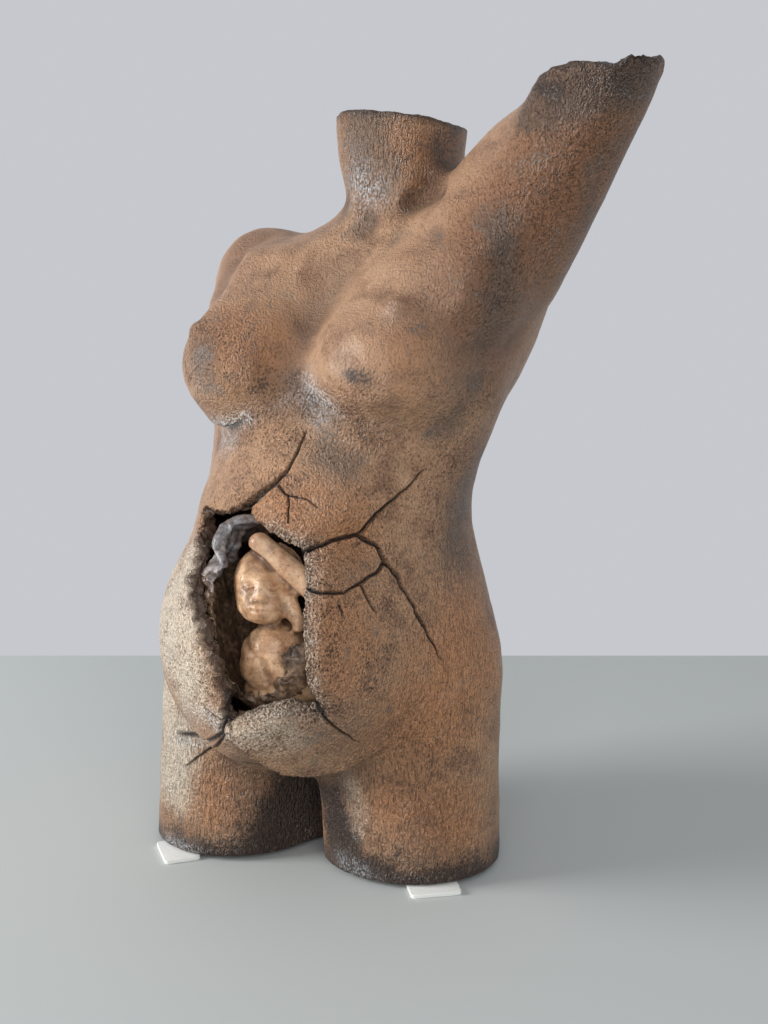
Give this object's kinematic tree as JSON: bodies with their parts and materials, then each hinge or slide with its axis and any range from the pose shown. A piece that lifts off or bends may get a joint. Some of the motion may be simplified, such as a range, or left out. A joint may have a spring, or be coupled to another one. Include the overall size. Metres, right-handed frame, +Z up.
{
  "type": "torso sculpture",
  "caption": "Hollow fired-clay torso of an expectant mother with one raised arm; the belly is cracked open into slabs round a curled baby in a torn sac.",
  "frame": {"origin": "middle of the box round the figure, on the surface that its pads stand on", "axes": "+Z up, -Y the way the figure faces, +X towards the figure's own left, the side of the raised arm"},
  "size_m": [0.375, 0.2812, 0.5897],
  "materials": {
    "clay": "coarse scraped unglazed clay with dark oxide in its pits",
    "pale_clay": "coarse scraped unglazed clay, paler",
    "smoked_clay": "smoked clay with a slight gloss",
    "sac_clay": "thin smoked clay, satin",
    "baby_clay": "smooth burnished clay, satin",
    "felt": "matte felt"
  },
  "bodies": {
    "root": {"right_thigh": "clay", "left_thigh": "clay", "hip_shell": "clay", "chest_shell": "clay", "neck_collar": "smoked_clay", "raised_arm": "clay", "shoulder_cap": "clay", "belly_upper_slab": "clay", "belly_middle_shard": "pale_clay", "belly_side_slab": "clay", "belly_lower_slab": "pale_clay", "inner_sac": "sac_clay", "baby_head": "baby_clay", "baby_trunk": "baby_clay", "baby_raised_arm": "baby_clay", "baby_bent_arm": "baby_clay", "pad_right_front": "felt", "pad_left_front": "felt", "pad_right_back": "felt", "pad_left_back": "felt"}
  },
  "joints": []
}
